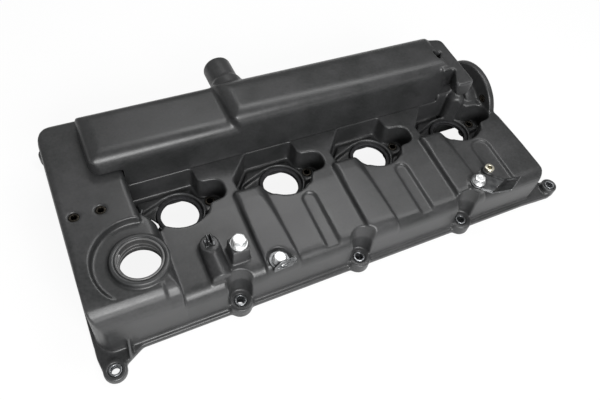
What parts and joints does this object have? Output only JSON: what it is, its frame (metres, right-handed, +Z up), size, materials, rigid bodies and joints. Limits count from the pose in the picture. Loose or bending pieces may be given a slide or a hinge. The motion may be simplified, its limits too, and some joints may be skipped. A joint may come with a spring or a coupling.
{
  "type": "engine valve cover",
  "caption": "Moulded engine valve cover with injector wells, an oil filler opening and an air duct with a round port and a pipe stub.",
  "frame": {"origin": "centre of the rectangle of cover screws, on the sealing face", "axes": "+X along the crankshaft toward the round port, +Y toward the duct's side, +Z up away from the cylinder head"},
  "size_m": [0.467, 0.2415, 0.0945],
  "materials": {
    "black_plastic": "satin moulded",
    "grey_plastic": "satin",
    "rubber": "matte",
    "zinc_steel": "zinc plated",
    "sheet_steel": "plated sheet",
    "brass": "turned"
  },
  "bodies": {
    "root": {"cover_shell": "black_plastic", "duct_shell": "black_plastic", "cover_gasket": "rubber", "injector_seal_1": "rubber", "injector_seal_2": "rubber", "injector_seal_3": "rubber", "injector_seal_4": "rubber", "runner_seal_1": "rubber", "runner_seal_2": "rubber", "runner_seal_3": "rubber", "runner_seal_4": "rubber", "filler_insert": "grey_plastic", "front_screw_sleeves": "zinc_steel", "rear_screw_sleeves": "zinc_steel", "ear_sleeve_left": "zinc_steel", "ear_sleeve_right": "zinc_steel", "rear_corner_sleeves": "zinc_steel", "clamp_screw_inserts": "brass", "plate_screw_inserts": "brass", "boss_bolt": "zinc_steel", "boss_washer": "zinc_steel", "spring_clip": "sheet_steel", "left_bracket": "sheet_steel", "left_bracket_screw": "zinc_steel", "right_bracket": "sheet_steel", "right_bracket_screw": "zinc_steel", "brass_stud": "brass", "port_inserts": "brass"}
  },
  "joints": []
}
